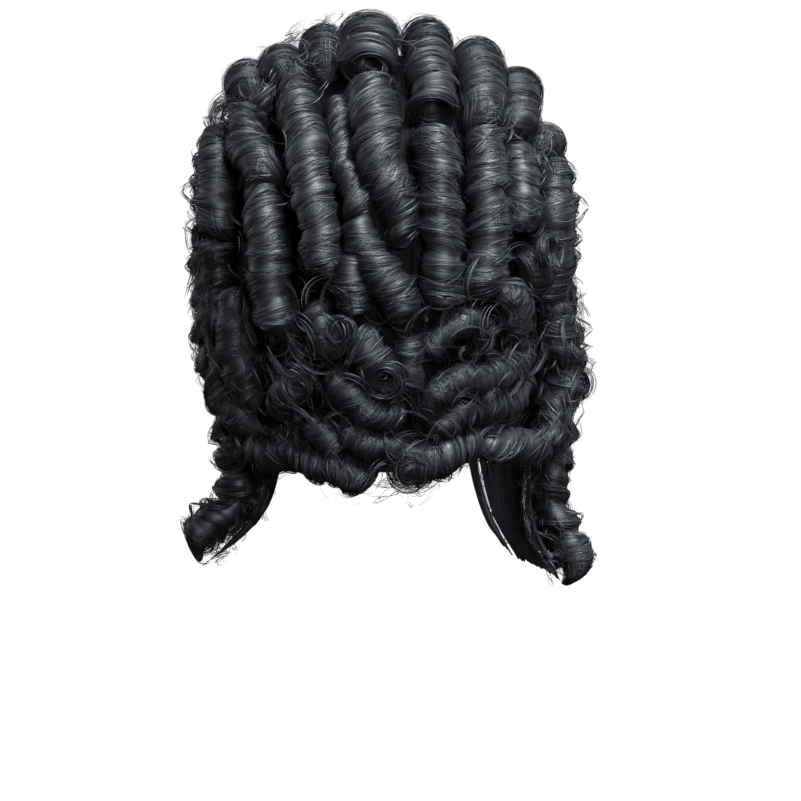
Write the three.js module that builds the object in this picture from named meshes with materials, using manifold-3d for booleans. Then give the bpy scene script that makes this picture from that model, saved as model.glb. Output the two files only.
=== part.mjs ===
// A long black periwig of synthetic hair, set in barrel rolls that run back over the crown, with
// curls across the nape and a curtain of ringlets, the lappet, hanging in front of each shoulder.
// Millimetres. +Z is up and the wearer looks along -Y, so the wearer's right is -X.
// The origin is the inside of the cap at the very top of the head.
import * as THREE from "three";
import Module from "manifold-3d";

const { clamp, degToRad, lerp, smoothstep } = THREE.MathUtils;
const wasm = await Module();
wasm.setup();

// The head that the cap fits
const headWidth = 156;
const headLength = 194;
const crownHeight = 90; // from the head's widest level up to its top
const napeTaper = 170; // below that level the head narrows as an ellipse of this height

// The cap
const capWall = 2;
const hairlineDrop = 50; // from the top of the head down to the rim at the forehead
const earDrop = 148; // down to the rim at the ears
const napeDrop = 215; // and down to the rim at the nape

// The hair
const rollWidth = 28; // across a barrel roll
const napeCurlWidth = 21;
const ringletWidth = 20;
const lappetDrop = 294; // from the top of the head down to the lowest ringlet
const lappetWall = 3;
const lappetBack = 94; // degrees round from the back of the head to a lappet's back edge
const lappetFront = 150; // and to its front edge
const seat = 0.4; // between neighbours that touch

// A curl's form
const curlSides = 8;
const ringSpacing = 22;
const bevel = 0.4; // share of the radius over which an end rounds off
const endFace = 0.74; // share of the radius that is left at the end
const endHollow = 0.55; // share of the radius that the open end of a barrel goes in

const hairBlack = new THREE.MeshStandardMaterial({ color: 0x17181b, roughness: 0.42, metalness: 0 });
const netBlack = new THREE.MeshStandardMaterial({ color: 0x0d0d0e, roughness: 0.85, metalness: 0 });

const capHalfWidth = headWidth / 2 + capWall;
const capHalfLength = headLength / 2 + capWall;

// A point a lift above the cap, and the outward normal there, from a unit direction whose x
// points to the wearer's right, y to the back and z up.
function onCap(x, y, z, lift) {
  const height = (z > 0 ? crownHeight : napeTaper) + capWall;
  const normal = new THREE.Vector3(-x / capHalfWidth, y / capHalfLength, z / height).normalize();
  const point = new THREE.Vector3(-x * capHalfWidth, y * capHalfLength, z * height - crownHeight);
  return { point: point.addScaledVector(normal, lift), normal };
}

// A place on the cap: across runs from -1 to 1 at the wearer's right, and over turns from 0 at
// the back through 90 at the top of the head to 180 at the forehead.
function overHead(across, over, lift) {
  const arc = Math.sqrt(1 - across * across);
  return onCap(across, arc * Math.cos(degToRad(over)), arc * Math.sin(degToRad(over)), lift);
}

// The value at a share of the way along a list of evenly spaced values, joined smoothly
function valueAt(list, share) {
  const points = list.map((value, i) => new THREE.Vector2(i, value));
  return new THREE.SplineCurve(points).getPoint(clamp(share, 0, 1)).y;
}

// How far the side hair swings out from straight down, in ringlet widths, from the head's widest
// level to the tips: along a lappet's back edge, and along its front edge.
const swing = {
  left: { back: [0, 0, -0.3, -0.8, -0.35, 1.8], front: [0, 0.3, 0.7, 0.9, 1.5, 3.4] },
  right: { back: [0, 0.2, 0.3, 0, 0.1, 1], front: [0, 0.1, 0.25, 0.35, 0.85, 1.9] },
};

// The face that the side hair lies on. around is degrees from the back of the head, more than 0
// to the wearer's right, and drop is a share of lappetDrop. Below the head's widest level the
// face hangs free of the cap.
function sideFace(around, drop) {
  const z = -drop * lappetDrop;
  const fallen = Math.max(0, (-z - crownHeight) / (lappetDrop - crownHeight));
  const rise = clamp((z + crownHeight) / (crownHeight + capWall), 0, 1);
  const girth = Math.sqrt(1 - rise * rise);
  const { back, front } = around < 0 ? swing.left : swing.right;
  const forward = clamp((Math.abs(around) - lappetBack) / (lappetFront - lappetBack), 0, 1);
  const out = lerp(valueAt(back, fallen), valueAt(front, fallen), forward ** 2) * ringletWidth;
  const across = Math.sin(degToRad(around)) * capHalfWidth * girth + Math.sign(around) * out;
  return new THREE.Vector3(-across, Math.cos(degToRad(around)) * capHalfLength * girth, z);
}

function besideHead(around, drop, lift) {
  const onward = sideFace(around + 1, drop).sub(sideFace(around - 1, drop));
  const down = sideFace(around, drop + 0.01).sub(sideFace(around, drop - 0.01));
  const normal = new THREE.Vector3().crossVectors(down, onward).normalize();
  return { point: sideFace(around, drop).addScaledVector(normal, lift), normal };
}

function aroundLappet(side, forward) {
  return side * lerp(lappetBack, lappetFront, forward);
}

// A closed solid from its corners and triangles, turned inside out where they face inwards
function closedSolid(corners, triangles) {
  const solid = new wasm.Manifold(new wasm.Mesh({
    numProp: 3,
    vertProperties: new Float32Array(corners.flatMap((p) => [p.x, p.y, p.z])),
    triVerts: new Uint32Array(triangles.flat()),
  }));
  if (solid.volume() > 0) return solid;
  return closedSolid(corners, triangles.map(([a, b, c]) => [a, c, b]));
}

function meshOf(name, solid, material) {
  const { vertProperties, triVerts } = solid.getMesh();
  const geometry = new THREE.BufferGeometry();
  geometry.setAttribute("position", new THREE.BufferAttribute(new Float32Array(vertProperties), 3));
  geometry.setIndex(new THREE.BufferAttribute(new Uint32Array(triVerts), 1));
  geometry.computeVertexNormals();
  const mesh = new THREE.Mesh(geometry, material);
  mesh.name = name;
  return mesh;
}

// Cap: a shell of net, open below and at the face, that bears on the top of the head. Its rim
// drops from the forehead to the ears and on to the nape.
const rim = [
  { around: 0, drop: napeDrop },
  { around: 45, drop: napeDrop },
  { around: 90, drop: earDrop },
  { around: 125, drop: (earDrop + hairlineDrop) / 2 },
  { around: 150, drop: hairlineDrop },
  { around: 180, drop: hairlineDrop },
];

function rimDrop(around) {
  const next = rim.find((row) => row.around > 0 && row.around >= around);
  const from = rim[rim.indexOf(next) - 1];
  return lerp(from.drop, next.drop, smoothstep(around, from.around, next.around));
}

function capSolid(grow = 0, meridians = 32, rows = 9) {
  const corners = [];
  for (const wall of [-grow, capWall + grow]) {
    const heightAt = (level) => (level > 0 ? crownHeight : napeTaper) + wall;
    for (let m = 0; m < meridians; m++) {
      const turn = (2 * Math.PI * m) / meridians;
      const rimLevel = crownHeight - grow - rimDrop(Math.min(360 * m, 360 * (meridians - m)) / meridians);
      const lowest = Math.asin(rimLevel / heightAt(rimLevel));
      for (let r = 1; r <= rows; r++) {
        const rise = lerp(Math.PI / 2, lowest, r / rows);
        corners.push(new THREE.Vector3(
          -(headWidth / 2 + wall) * Math.cos(rise) * Math.sin(turn),
          (headLength / 2 + wall) * Math.cos(rise) * Math.cos(turn),
          heightAt(rise) * Math.sin(rise) - crownHeight,
        ));
      }
    }
    corners.push(new THREE.Vector3(0, 0, wall));
  }
  const top = [meridians * rows, 2 * meridians * rows + 1];
  const corner = (face, m, r) => face * (meridians * rows + 1) + (m % meridians) * rows + r;
  const triangles = [];
  const quad = (a, b, c, d) => triangles.push([a, b, c], [a, c, d]);
  for (let m = 0; m < meridians; m++) {
    triangles.push([top[0], corner(0, m, 0), corner(0, m + 1, 0)]);
    triangles.push([top[1], corner(1, m + 1, 0), corner(1, m, 0)]);
    for (let r = 0; r + 1 < rows; r++) {
      quad(corner(0, m, r), corner(0, m, r + 1), corner(0, m + 1, r + 1), corner(0, m + 1, r));
      quad(corner(1, m, r), corner(1, m + 1, r), corner(1, m + 1, r + 1), corner(1, m, r + 1));
    }
    const last = rows - 1;
    quad(corner(0, m, last), corner(1, m, last), corner(1, m + 1, last), corner(0, m + 1, last));
  }
  return closedSolid(corners, triangles);
}

// Lappets: the smooth backing of each curtain of ringlets and, beside the right one, a narrow
// strand that parts from it lower down. from and to are shares of the way from the lappet's back
// edge to its front edge, at the top and at the tips. top and bottom are drops along those edges.
const sheets = [
  { name: "lappet_left", side: -1, from: [0, 0], to: [1, 1], top: 0.2, bottom: [0.955, 0.86] },
  { name: "lappet_right", side: 1, from: [0, 0], to: [0.93, 0.84], top: 0.2, bottom: [0.97, 0.93] },
  { name: "strand_right", side: 1, from: [0.94, 0.9], to: [1, 1], top: 0.2, bottom: [0.93, 0.91] },
];

function sheetSolid({ side, from, to, top, bottom }, grow = 0, rows = 10) {
  const columns = Math.ceil((to[0] - from[0]) * 6);
  const corners = [];
  for (const lift of [seat - grow, seat + lappetWall + grow])
    for (let r = 0; r <= rows; r++)
      for (let c = 0; c <= columns; c++) {
        const [u, v] = [c / columns, r / rows];
        const forward = lerp(lerp(...from, v), lerp(...to, v), u);
        corners.push(besideHead(aroundLappet(side, forward), lerp(top, lerp(...bottom, u), v), lift).point);
      }
  const corner = (face, r, c) => (face * (rows + 1) + r) * (columns + 1) + c;
  const triangles = [];
  const quad = (a, b, c, d) => triangles.push([a, b, c], [a, c, d]);
  for (let r = 0; r < rows; r++)
    for (let c = 0; c < columns; c++) {
      quad(corner(1, r, c), corner(1, r + 1, c), corner(1, r + 1, c + 1), corner(1, r, c + 1));
      quad(corner(0, r, c), corner(0, r, c + 1), corner(0, r + 1, c + 1), corner(0, r + 1, c));
    }
  for (let c = 0; c < columns; c++) {
    quad(corner(0, 0, c), corner(1, 0, c), corner(1, 0, c + 1), corner(0, 0, c + 1));
    quad(corner(0, rows, c), corner(0, rows, c + 1), corner(1, rows, c + 1), corner(1, rows, c));
  }
  for (let r = 0; r < rows; r++) {
    quad(corner(0, r, 0), corner(0, r + 1, 0), corner(1, r + 1, 0), corner(1, r, 0));
    quad(corner(0, r, columns), corner(1, r, columns), corner(1, r + 1, columns), corner(0, r + 1, columns));
  }
  return closedSolid(corners, triangles);
}

// Curls. route gives across and over, or around and drop. girth and lift are widths along it, as
// shares of the kind's width, flat is how far it is pressed down, and base is what it lies on.
const crownRolls = [
  { name: "crown_roll_5", route: [[0.22, 151], [0.24, 100], [0.27, 36]], girth: [0.85, 1, 1] },
  {
    name: "crown_roll_4",
    route: [[-0.08, 152], [-0.07, 105], [-0.08, 52]],
    girth: [0.95, 1.14, 1.16],
    flat: 0.86,
  },
  { name: "crown_roll_6", route: [[0.52, 150], [0.52, 100], [0.57, 36]], girth: [0.85, 1.1, 0.95] },
  { name: "crown_roll_3", route: [[-0.34, 151], [-0.34, 100], [-0.33, 60]], girth: [0.75, 0.98, 0.85] },
  {
    name: "crown_roll_2",
    route: [[-0.57, 150], [-0.56, 100], [-0.55, 60]],
    girth: [0.75, 0.98, 0.85],
    lift: [0, 0.1, 0.1],
  },
  {
    name: "crown_roll_1",
    route: [[-0.77, 140], [-0.71, 95], [-0.71, 60]],
    girth: [0.8, 1, 0.9],
    lift: [0.15, 0.3, 0.3],
  },
  {
    name: "crown_roll_7",
    route: [[0.78, 145], [0.73, 95], [0.72, 40]],
    girth: [0.8, 0.95, 0.9],
    lift: [0.1, 0.25, 0.2],
  },
  {
    name: "crown_roll_8",
    route: [[0.9, 132], [0.9, 90], [0.88, 50]],
    girth: [0.7, 0.85, 0.8],
    lift: [0.05, 0.2, 0.25],
  },
  {
    name: "crown_roll_9",
    route: [[-0.9, 132], [-0.9, 100], [-0.89, 68]],
    girth: [0.7, 0.85, 0.8],
    lift: [0.05, 0.1],
  },
];

const backRolls = [
  {
    name: "back_roll_5",
    route: [[-0.04, 46], [-0.04, 31], [0, 17], [0.1, 5], [0.12, -4]],
    girth: [1, 1.08, 1, 0.8, 0.6],
  },
  {
    name: "back_roll_6",
    route: [[0.29, 32], [0.29, 20], [0.32, 6], [0.32, -5], [0.34, -12]],
    girth: [1.05, 1, 0.92, 0.92, 0.85],
  },
  {
    name: "back_roll_7",
    route: [[0.58, 32], [0.57, 18], [0.59, 2], [0.56, -7], [0.54, -15]],
    girth: [0.9, 0.9, 0.94, 0.94, 0.85],
  },
  {
    name: "back_roll_8",
    route: [[0.77, 36], [0.79, 20], [0.8, 6], [0.79, -2]],
    girth: [0.85, 0.86, 0.86, 0.7],
  },
  {
    name: "back_roll_3",
    route: [[-0.5, 54], [-0.43, 34], [-0.38, 14], [-0.34, 0], [-0.3, -9]],
    girth: [0.8, 0.92, 0.92, 0.9, 0.85],
  },
  {
    name: "back_roll_2",
    route: [[-0.75, 54], [-0.72, 34], [-0.63, 16]],
    girth: [0.85, 0.92, 0.9],
    lift: [0.15, 0],
  },
  {
    name: "back_roll_2_lower",
    route: [[-0.68, 12], [-0.62, -2], [-0.61, -12], [-0.54, -23]],
    girth: [0.8, 0.96, 0.96, 0.8],
  },
  {
    name: "back_roll_5_lower",
    route: [[-0.13, 0], [-0.02, -7], [0.08, -11], [0.16, -16]],
    girth: [0.7, 0.86, 0.88, 0.8],
  },
  {
    name: "back_roll_4",
    route: [[-0.26, 46], [-0.24, 30], [-0.18, 14], [-0.1, 2]],
    girth: [0.5, 0.55, 0.62, 0.62],
  },
  {
    name: "back_roll_1",
    route: [[-0.88, 66], [-0.92, 36], [-0.94, -6]],
    girth: [0.8, 1, 0.95],
    lift: [0.4, 0.08, 0],
  },
  {
    name: "back_roll_9",
    route: [[0.93, 60], [0.94, 30], [0.95, 0], [0.95, -42]],
    girth: [0.85, 0.98, 1, 0.85],
    lift: [0.25, 0.12, 0.12, 0.1],
  },
];

const napeCurls = [
  { name: "nape_curl_1", route: [[-0.2, -3], [-0.16, -9], [-0.13, -15]], girth: [0.8, 0.95, 0.95] },
  {
    name: "nape_curl_2",
    route: [[-0.15, -16.5], [-0.07, -20], [0.02, -25]],
    girth: [0.9, 1, 1.05],
    lift: [0.05, 0.05],
  },
  {
    name: "nape_curl_3",
    route: [[0.22, -23], [0.35, -19], [0.52, -18.5], [0.63, -25]],
    girth: [0.7, 0.8, 0.8, 0.7],
  },
  {
    name: "nape_curl_4",
    route: [[0.23, -35], [0.33, -30], [0.52, -31], [0.74, -38], [0.86, -42]],
    girth: [0.75, 0.9, 0.95, 0.9, 0.8],
  },
  {
    name: "nape_curl_5",
    route: [[-0.32, -26], [-0.18, -29.5], [-0.02, -32.5], [0.15, -32]],
    girth: [0.8, 0.92, 0.92, 0.8],
  },
  {
    name: "nape_curl_6",
    route: [[-0.6, -52], [-0.35, -46.5], [-0.18, -46], [-0.06, -49]],
    girth: [0.85, 1, 1.05, 1],
    lift: [0.05, 0.05],
  },
  {
    name: "nape_curl_7",
    route: [[0.05, -42.5], [0.21, -42.5], [0.4, -44.5], [0.6, -49]],
    girth: [1.1, 1.1, 1.05, 0.85],
  },
  {
    name: "nape_curl_8",
    route: [[0.26, -38.5], [0.42, -36.5], [0.6, -41], [0.76, -50], [0.86, -56]],
    girth: [0.8, 0.95, 0.95, 0.8],
  },
  { name: "nape_curl_9", route: [[-0.46, -27], [-0.52, -34], [-0.62, -43]], girth: [0.8, 0.95, 0.8] },
  {
    name: "nape_curl_10",
    route: [[-0.24, -35], [-0.12, -38], [0.02, -39.5], [0.16, -38]],
    girth: [0.75, 0.9, 0.9, 0.75],
  },
  { name: "nape_curl_11", route: [[-0.42, -37], [-0.3, -40], [-0.2, -41]], girth: [0.8, 0.95, 0.75] },
  { name: "nape_curl_12", route: [[0.7, -13], [0.76, -21], [0.78, -31]], girth: [0.85, 1, 0.85] },
  {
    name: "nape_curl_13",
    route: [[0.83, -5], [0.86, -13], [0.9, -24]],
    girth: [0.9, 1.05, 0.9],
    lift: [0.1, 0.1],
  },
  { name: "nape_curl_14", route: [[-0.4, -13], [-0.33, -19], [-0.26, -23.5]], girth: [0.7, 0.85, 0.75] },
  { name: "nape_curl_15", route: [[0.1, -18], [0.16, -23], [0.14, -29]], girth: [0.75, 0.9, 0.8] },
  { name: "nape_curl_16", route: [[-0.88, -20], [-0.83, -39], [-0.75, -56]], girth: [0.9, 1.15, 0.95] },
];

const sideLocks = [
  { name: "side_roll_left", route: [[-88, 0.12], [-88, 0.22], [-86, 0.33]], girth: [1, 1.25, 1.1] },
  { name: "side_roll_right", route: [[88, 0.15], [88, 0.25], [88, 0.4]], girth: [1, 1.25, 1.1] },
  {
    name: "side_lock_left",
    route: [[-78, 0.31], [-82, 0.43], [-76, 0.55], [-70, 0.68]],
    girth: [1, 1.05, 1.05, 0.95],
  },
  {
    name: "side_lock_right",
    route: [[78, 0.42], [80, 0.52], [84, 0.6], [74, 0.71]],
    girth: [0.9, 1.1, 1.15, 0.85],
  },
  {
    name: "nape_fall_left",
    route: [[-48, 0.7], [-60, 0.715], [-70, 0.7]],
    girth: [0.9, 1.05, 0.9],
    lift: [-0.8, -0.4, 0],
  },
  {
    name: "nape_fall_right",
    route: [[46, 0.68], [58, 0.7], [68, 0.695]],
    girth: [0.9, 1.05, 0.9],
    lift: [-0.8, -0.4, 0],
  },
];

// Ringlets stand side by side on each lappet and end higher towards its front edge.
function ringletRoute(side, forward, end) {
  const around = aroundLappet(side, forward);
  const start = 0.18 + 0.03 * forward;
  return [0, 1 / 3, 2 / 3, 1].map((t) => [around, lerp(start, end, t)]);
}

const ringlets = [0.08, 0.36, 0.64, 0.92].flatMap((forward, i) => [
  {
    name: `ringlet_left_${i + 1}`,
    route: ringletRoute(-1, forward, 0.94 - 0.08 * forward),
    girth: [0.9, 1, 1, 1, 0.6],
  },
  {
    name: `ringlet_right_${i + 1}`,
    route: ringletRoute(1, forward, 0.985 - 0.06 * forward),
    girth: [0.9, 1, 1, 1, 1.05],
  },
]);

const kinds = [
  { rows: crownRolls, place: overHead, width: rollWidth, base: 0 },
  { rows: backRolls, place: overHead, width: rollWidth, base: 0 },
  { rows: napeCurls, place: overHead, width: napeCurlWidth, base: 0 },
  { rows: sideLocks, place: besideHead, width: ringletWidth, base: 0 },
  { rows: ringlets, place: besideHead, width: ringletWidth, base: seat + lappetWall },
];

// A curl is a row of rings along its route, each a flattened circle lying on the head. An end is
// bevelled and goes in like the end of a barrel, but a curl that is grown ends in a point.
function curlSolid({ route, girth, lift = [0, 0], flat = 1 }, { place, width, base }, grow = 0) {
  const line = new THREE.SplineCurve(route.map((stop) => new THREE.Vector2(...stop)));
  const radiusAt = (t) => (valueAt(girth, t) * width) / 2;
  const placeAt = (t) => {
    const { x, y } = line.getPoint(t);
    return place(x, y, seat + base + radiusAt(t) * flat + valueAt(lift, t) * width);
  };
  const alongAt = (t) =>
    placeAt(Math.min(t + 0.01, 1)).point.sub(placeAt(Math.max(t - 0.01, 0)).point).normalize();
  let length = 0;
  for (let i = 0; i < 24; i++) length += placeAt(i / 24).point.distanceTo(placeAt((i + 1) / 24).point);
  const spans = Math.max(3, Math.round(length / ringSpacing));
  const rings = [{ t: 0, size: endFace }, { t: (bevel * radiusAt(0)) / length, size: 1 }];
  for (let i = 1; i < spans; i++) rings.push({ t: i / spans, size: 1 });
  rings.push({ t: 1 - (bevel * radiusAt(1)) / length, size: 1 }, { t: 1, size: endFace });

  const corners = [];
  for (const { t, size } of rings) {
    const { point, normal } = placeAt(t);
    const sideways = new THREE.Vector3().crossVectors(alongAt(t), normal).normalize();
    const up = new THREE.Vector3().crossVectors(sideways, alongAt(t));
    const radius = radiusAt(t) * size;
    for (let i = 0; i < curlSides; i++) {
      const turn = (2 * Math.PI * i) / curlSides;
      corners.push(point.clone()
        .addScaledVector(sideways, (radius + grow) * Math.cos(turn))
        .addScaledVector(up, (radius * flat + grow) * Math.sin(turn)));
    }
  }
  const goingIn = (t) => (grow > 0 ? -grow : endHollow * radiusAt(t) * flat);
  corners.push(placeAt(0).point.addScaledVector(alongAt(0), goingIn(0)));
  corners.push(placeAt(1).point.addScaledVector(alongAt(1), -goingIn(1)));
  const last = (rings.length - 1) * curlSides;
  const [head, tail] = [last + curlSides, last + curlSides + 1];
  const triangles = [];
  for (let i = 0; i < curlSides; i++) {
    const next = (i + 1) % curlSides;
    triangles.push([head, i, next], [tail, last + next, last + i]);
    for (let ring = 0; ring < last; ring += curlSides) {
      const [a, b, c, d] = [ring + i, ring + next, ring + curlSides + next, ring + curlSides + i];
      triangles.push([a, c, b], [a, d, c]);
    }
  }
  return closedSolid(corners, triangles);
}

const wig = new THREE.Group();
wig.name = "periwig";
wig.add(meshOf("cap", capSolid(), netBlack));

// The room that each piece takes, its seat included. What is set later is pressed back by it.
const rooms = [capSolid(seat)];

function apart(a, b) {
  const [p, q] = [a.boundingBox(), b.boundingBox()];
  return [0, 1, 2].some((i) => p.max[i] < q.min[i] || q.max[i] < p.min[i]);
}

function set(name, solid, room) {
  for (const other of rooms) if (!apart(solid, other)) solid = solid.subtract(other);
  const bodies = solid.decompose().sort((a, b) => b.volume() - a.volume());
  wig.add(meshOf(name, bodies[0], hairBlack));
  rooms.push(room);
}

for (const row of sheets) set(row.name, sheetSolid(row), sheetSolid(row, seat));
for (const kind of kinds)
  for (const row of kind.rows) set(row.name, curlSolid(row, kind), curlSolid(row, kind, seat));

export default wig;
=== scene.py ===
# A long black wig of set curls, seen from behind: barrel rolls over the crown and down the back,
# a nape of looser curls, and a lappet of ringlets in front of each shoulder. Metres throughout.
import math
from math import pi, tau

import bpy
import numpy as np
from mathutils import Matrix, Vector


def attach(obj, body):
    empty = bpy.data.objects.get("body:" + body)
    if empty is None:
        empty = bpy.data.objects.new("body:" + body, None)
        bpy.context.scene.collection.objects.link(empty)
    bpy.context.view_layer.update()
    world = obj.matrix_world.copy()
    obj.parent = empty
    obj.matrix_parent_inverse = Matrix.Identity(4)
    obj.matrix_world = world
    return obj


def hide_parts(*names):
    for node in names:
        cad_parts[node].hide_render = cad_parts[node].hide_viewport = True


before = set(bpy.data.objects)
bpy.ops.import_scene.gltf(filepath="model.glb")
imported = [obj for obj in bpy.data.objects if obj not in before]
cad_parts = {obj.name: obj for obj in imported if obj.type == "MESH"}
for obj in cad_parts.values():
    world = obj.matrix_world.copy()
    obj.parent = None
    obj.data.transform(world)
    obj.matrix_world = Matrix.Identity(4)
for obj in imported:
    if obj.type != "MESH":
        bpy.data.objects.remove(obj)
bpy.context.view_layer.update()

# The cap: a close stretch net, sewn to the form of a head and bound with a narrow band at its
# rim. Tapes of weft run round it inside, and every lock of the wig is stitched to them.
head_width, head_length = 0.156, 0.194
crown_height, nape_taper = 0.090, 0.170
hairline_drop, ear_drop, nape_drop = 0.050, 0.148, 0.215
cap_wall, seat = 0.002, 0.0004
net_wall = cap_wall - 0.0006


def rim_drop(around):
    """How far below the top of the head the rim lies, by degrees round from the back."""
    around = np.abs(around)
    stops = [(0, nape_drop), (45, nape_drop), (90, ear_drop),
             (125, (ear_drop + hairline_drop) / 2), (150, hairline_drop), (180, hairline_drop)]
    drop = np.full(np.shape(around), hairline_drop)
    for (first, high), (last, low) in zip(stops, stops[1:]):
        w = np.clip((around - first) / (last - first), 0, 1)
        w = w * w * (3 - 2 * w)
        drop = np.where((around >= first) & (around <= last), high + (low - high) * w, drop)
    return drop


def rise_to(drop, wall=0.0):
    """The angle up from the head's widest level to the level that lies a drop below its top."""
    level = crown_height - drop
    height = np.where(level > 0, crown_height, nape_taper) + wall
    return np.arcsin(np.clip(level / height, -1, 1))


def cap_point(around, down, wall):
    """A point of the cap's wall, degrees round from the back and a share of the way to the rim."""
    around, down, wall = np.broadcast_arrays(*(np.asarray(x, float) for x in (around, down, wall)))
    rise = pi / 2 + (rise_to(rim_drop(around), wall) - pi / 2) * down
    turn = np.radians(around)
    height = np.where(rise > 0, crown_height, nape_taper) + wall
    return np.stack([-(head_width / 2 + wall) * np.cos(rise) * np.sin(turn),
                     (head_length / 2 + wall) * np.cos(rise) * np.cos(turn),
                     height * np.sin(rise) - crown_height], -1)


def unit(vectors, least=0.0):
    """Vectors brought to a length of one, with a least length where one may vanish."""
    return vectors / (np.linalg.norm(vectors, axis=-1, keepdims=True) + least)


def grid_faces(rows, columns, closed=False):
    """Four-sided faces over a grid of points, round to its first column where it is closed."""
    r, c = np.meshgrid(np.arange(rows - 1), np.arange(columns if closed else columns - 1),
                       indexing="ij")
    r, c = r.ravel() * columns, c.ravel()
    n = (c + 1) % columns
    return np.stack([r + c, r + columns + c, r + columns + n, r + n], -1)


def tube_faces(rings, sides):
    """Faces of a tube, each end of which closes in a fan about one of two points at the last."""
    fan = np.arange(sides)
    after, end, tip = (fan + 1) % sides, (rings - 1) * sides, np.full(sides, rings * sides)
    return [grid_faces(rings, sides, True), np.stack([fan, after, tip], -1),
            np.stack([tip + 1, after + end, fan + end], -1)]


def inside_out(faces):
    """The same faces, that look the other way."""
    return [kind[:, ::-1] for kind in faces]


def sew(name, parts, finishes, slot, *nodes):
    """One mesh of parts: each its points, its faces, the way its hair lies and its finish."""
    points, corners, sizes, lays, worn, count = [], [], [], [], [], 0
    for part_points, part_faces, part_lay, part_finish in parts:
        points.append(part_points.reshape(-1, 3))
        lays.append(part_lay.reshape(-1, 3))
        for faces in part_faces:
            corners.append((faces + count).ravel())
            sizes.append(np.full(len(faces), faces.shape[1]))
            worn.append(np.full(len(faces), part_finish))
        count += len(points[-1])
    points, corners, sizes, lays, worn = map(np.concatenate, (points, corners, sizes, lays, worn))
    mesh = bpy.data.meshes.new(name)
    mesh.vertices.add(len(points))
    mesh.vertices.foreach_set("co", points.astype(np.float32).ravel())
    mesh.loops.add(len(corners))
    mesh.loops.foreach_set("vertex_index", corners.astype(np.int32))
    mesh.polygons.add(len(sizes))
    mesh.polygons.foreach_set("loop_start", (np.cumsum(sizes) - sizes).astype(np.int32))
    mesh.update(calc_edges=True)
    lay = mesh.attributes.new("lay", "FLOAT_VECTOR", "POINT")
    lay.data.foreach_set("vector", lays.astype(np.float32).ravel())
    mesh.polygons.foreach_set("use_smooth", np.ones(len(sizes), bool))
    for finish in finishes:
        mesh.materials.append(finish)
    mesh.polygons.foreach_set("material_index", worn.astype(np.int32))
    piece = bpy.data.objects.new(name, mesh)
    bpy.context.scene.collection.objects.link(piece)
    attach(piece, "root")
    if nodes:
        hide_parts(*nodes)


class Thread:
    """A value or colour on its way through a finish."""

    def __init__(self, tree, socket=None):
        self.tree, self.socket = tree, socket

    def node(self, kind, settings, inputs, output=0):
        """A node of a kind, with its settings and its inputs' values or threads."""
        made = self.tree.nodes.new(kind)
        for key, value in settings.items():
            if key == "stops":
                ramp = made.color_ramp
                for stop, (place, colour) in zip(ramp.elements, value, strict=True):
                    stop.position, stop.color = place, (*colour, 1)
            else:
                setattr(made, key, value)
        for key, value in inputs.items():
            if isinstance(value, Thread):
                self.tree.links.new(value.socket, made.inputs[key])
            else:
                made.inputs[key].default_value = value
        return Thread(self.tree, made.outputs[output])

    def maths(self, operation, first, second):
        return self.node("ShaderNodeMath", {"operation": operation}, {0: first, 1: second})

    def __add__(self, other):
        return self.maths("ADD", self, other)

    def __radd__(self, other):
        return self.maths("ADD", other, self)

    def __sub__(self, other):
        return self.maths("SUBTRACT", self, other)

    def __rsub__(self, other):
        return self.maths("SUBTRACT", other, self)

    def __mul__(self, other):
        return self.maths("MULTIPLY", self, other)

    def __rmul__(self, other):
        return self.maths("MULTIPLY", other, self)


def finish_of(name):
    """A new finish, with a thread to build from and its surface."""
    finish = bpy.data.materials.new(name)
    finish.use_nodes = True
    tree = finish.node_tree
    return finish, Thread(tree), next(n for n in tree.nodes if n.type == "BSDF_PRINCIPLED")


def lay_on(surface, plain, threads):
    """The plain values and the threads that a finish's surface takes."""
    for key, value in plain.items():
        surface.inputs[key].default_value = value
    for key, thread in threads.items():
        thread.tree.links.new(thread.socket, surface.inputs[key])


cells_per_metre, yarn_relief = 620.0, 0.0004
yarn_stops = [(0.0, (0.03, 0.03, 0.033)), (0.16, (0.006, 0.006, 0.007))]
net_finish, thread, surface = finish_of("stretch_net")
lay = thread.node("ShaderNodeAttribute", {"attribute_name": "lay"}, {}, "Vector")
cells = thread.node("ShaderNodeTexVoronoi", {"feature": "DISTANCE_TO_EDGE"},
                    {"Vector": lay, "Scale": cells_per_metre, "Randomness": 0.35})
yarn = thread.node("ShaderNodeValToRGB", {"stops": yarn_stops}, {"Fac": cells})
raised = thread.node("ShaderNodeBump", {},
                     {"Strength": 0.7, "Distance": yarn_relief, "Height": 1 - cells})
lay_on(surface, {"Roughness": 0.8, "Specular IOR Level": 0.3},
       {"Base Color": yarn, "Normal": raised})

meridians, cap_rows = 80, 32
top_share = 0.004  # of the way down, where a fan closes the top
around = np.linspace(0, 360, meridians, endpoint=False)
around = np.where(around > 180, around - 360, around)
down = np.maximum(np.linspace(0, 1, cap_rows), top_share)[:, None]
wall = np.concatenate([cap_point(around, down, 0).reshape(-1, 3),
                       cap_point(around, down[::-1], net_wall).reshape(-1, 3),
                       [[0, 0, 0], [0, 0, net_wall]]])
cap_parts = [(wall, inside_out(tube_faces(2 * cap_rows, meridians)), wall, 0)]

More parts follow.
